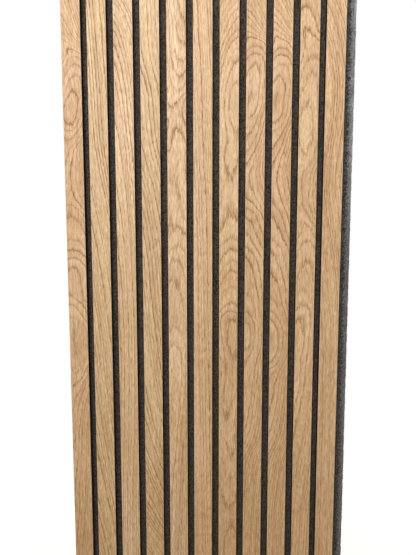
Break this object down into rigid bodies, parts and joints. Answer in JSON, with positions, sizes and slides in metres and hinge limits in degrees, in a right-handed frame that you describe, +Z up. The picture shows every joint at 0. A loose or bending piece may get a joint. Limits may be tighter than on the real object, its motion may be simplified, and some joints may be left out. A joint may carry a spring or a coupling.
{
  "type": "acoustic slat wall panel",
  "caption": "Tall wall panel of narrow oak-faced slats on a dark felt backing. Sound passes the gaps into the felt, which runs past the last slat to meet the next panel.",
  "frame": {"origin": "the middle of the felt's back face, on the wall", "axes": "+X across the panel to the felt lip, +Y into the wall, +Z up along the slats"},
  "size_m": [0.605, 0.0216, 2.44],
  "materials": {
    "felt": "matte, fuzzy",
    "black_fibreboard": "matte",
    "oak_veneer": "matte oil",
    "staple_wire": "zinc"
  },
  "bodies": {
    "root": {"felt_backing": "felt", "slat_core_01": "black_fibreboard", "slat_core_02": "black_fibreboard", "slat_core_03": "black_fibreboard", "slat_core_04": "black_fibreboard", "slat_core_05": "black_fibreboard", "slat_core_06": "black_fibreboard", "slat_core_07": "black_fibreboard", "slat_core_08": "black_fibreboard", "slat_core_09": "black_fibreboard", "slat_core_10": "black_fibreboard", "slat_core_11": "black_fibreboard", "oak_veneer_01": "oak_veneer", "oak_veneer_02": "oak_veneer", "oak_veneer_03": "oak_veneer", "oak_veneer_04": "oak_veneer", "oak_veneer_05": "oak_veneer", "oak_veneer_06": "oak_veneer", "oak_veneer_07": "oak_veneer", "oak_veneer_08": "oak_veneer", "oak_veneer_09": "oak_veneer", "oak_veneer_10": "oak_veneer", "oak_veneer_11": "oak_veneer", "staples": "staple_wire"}
  },
  "joints": []
}
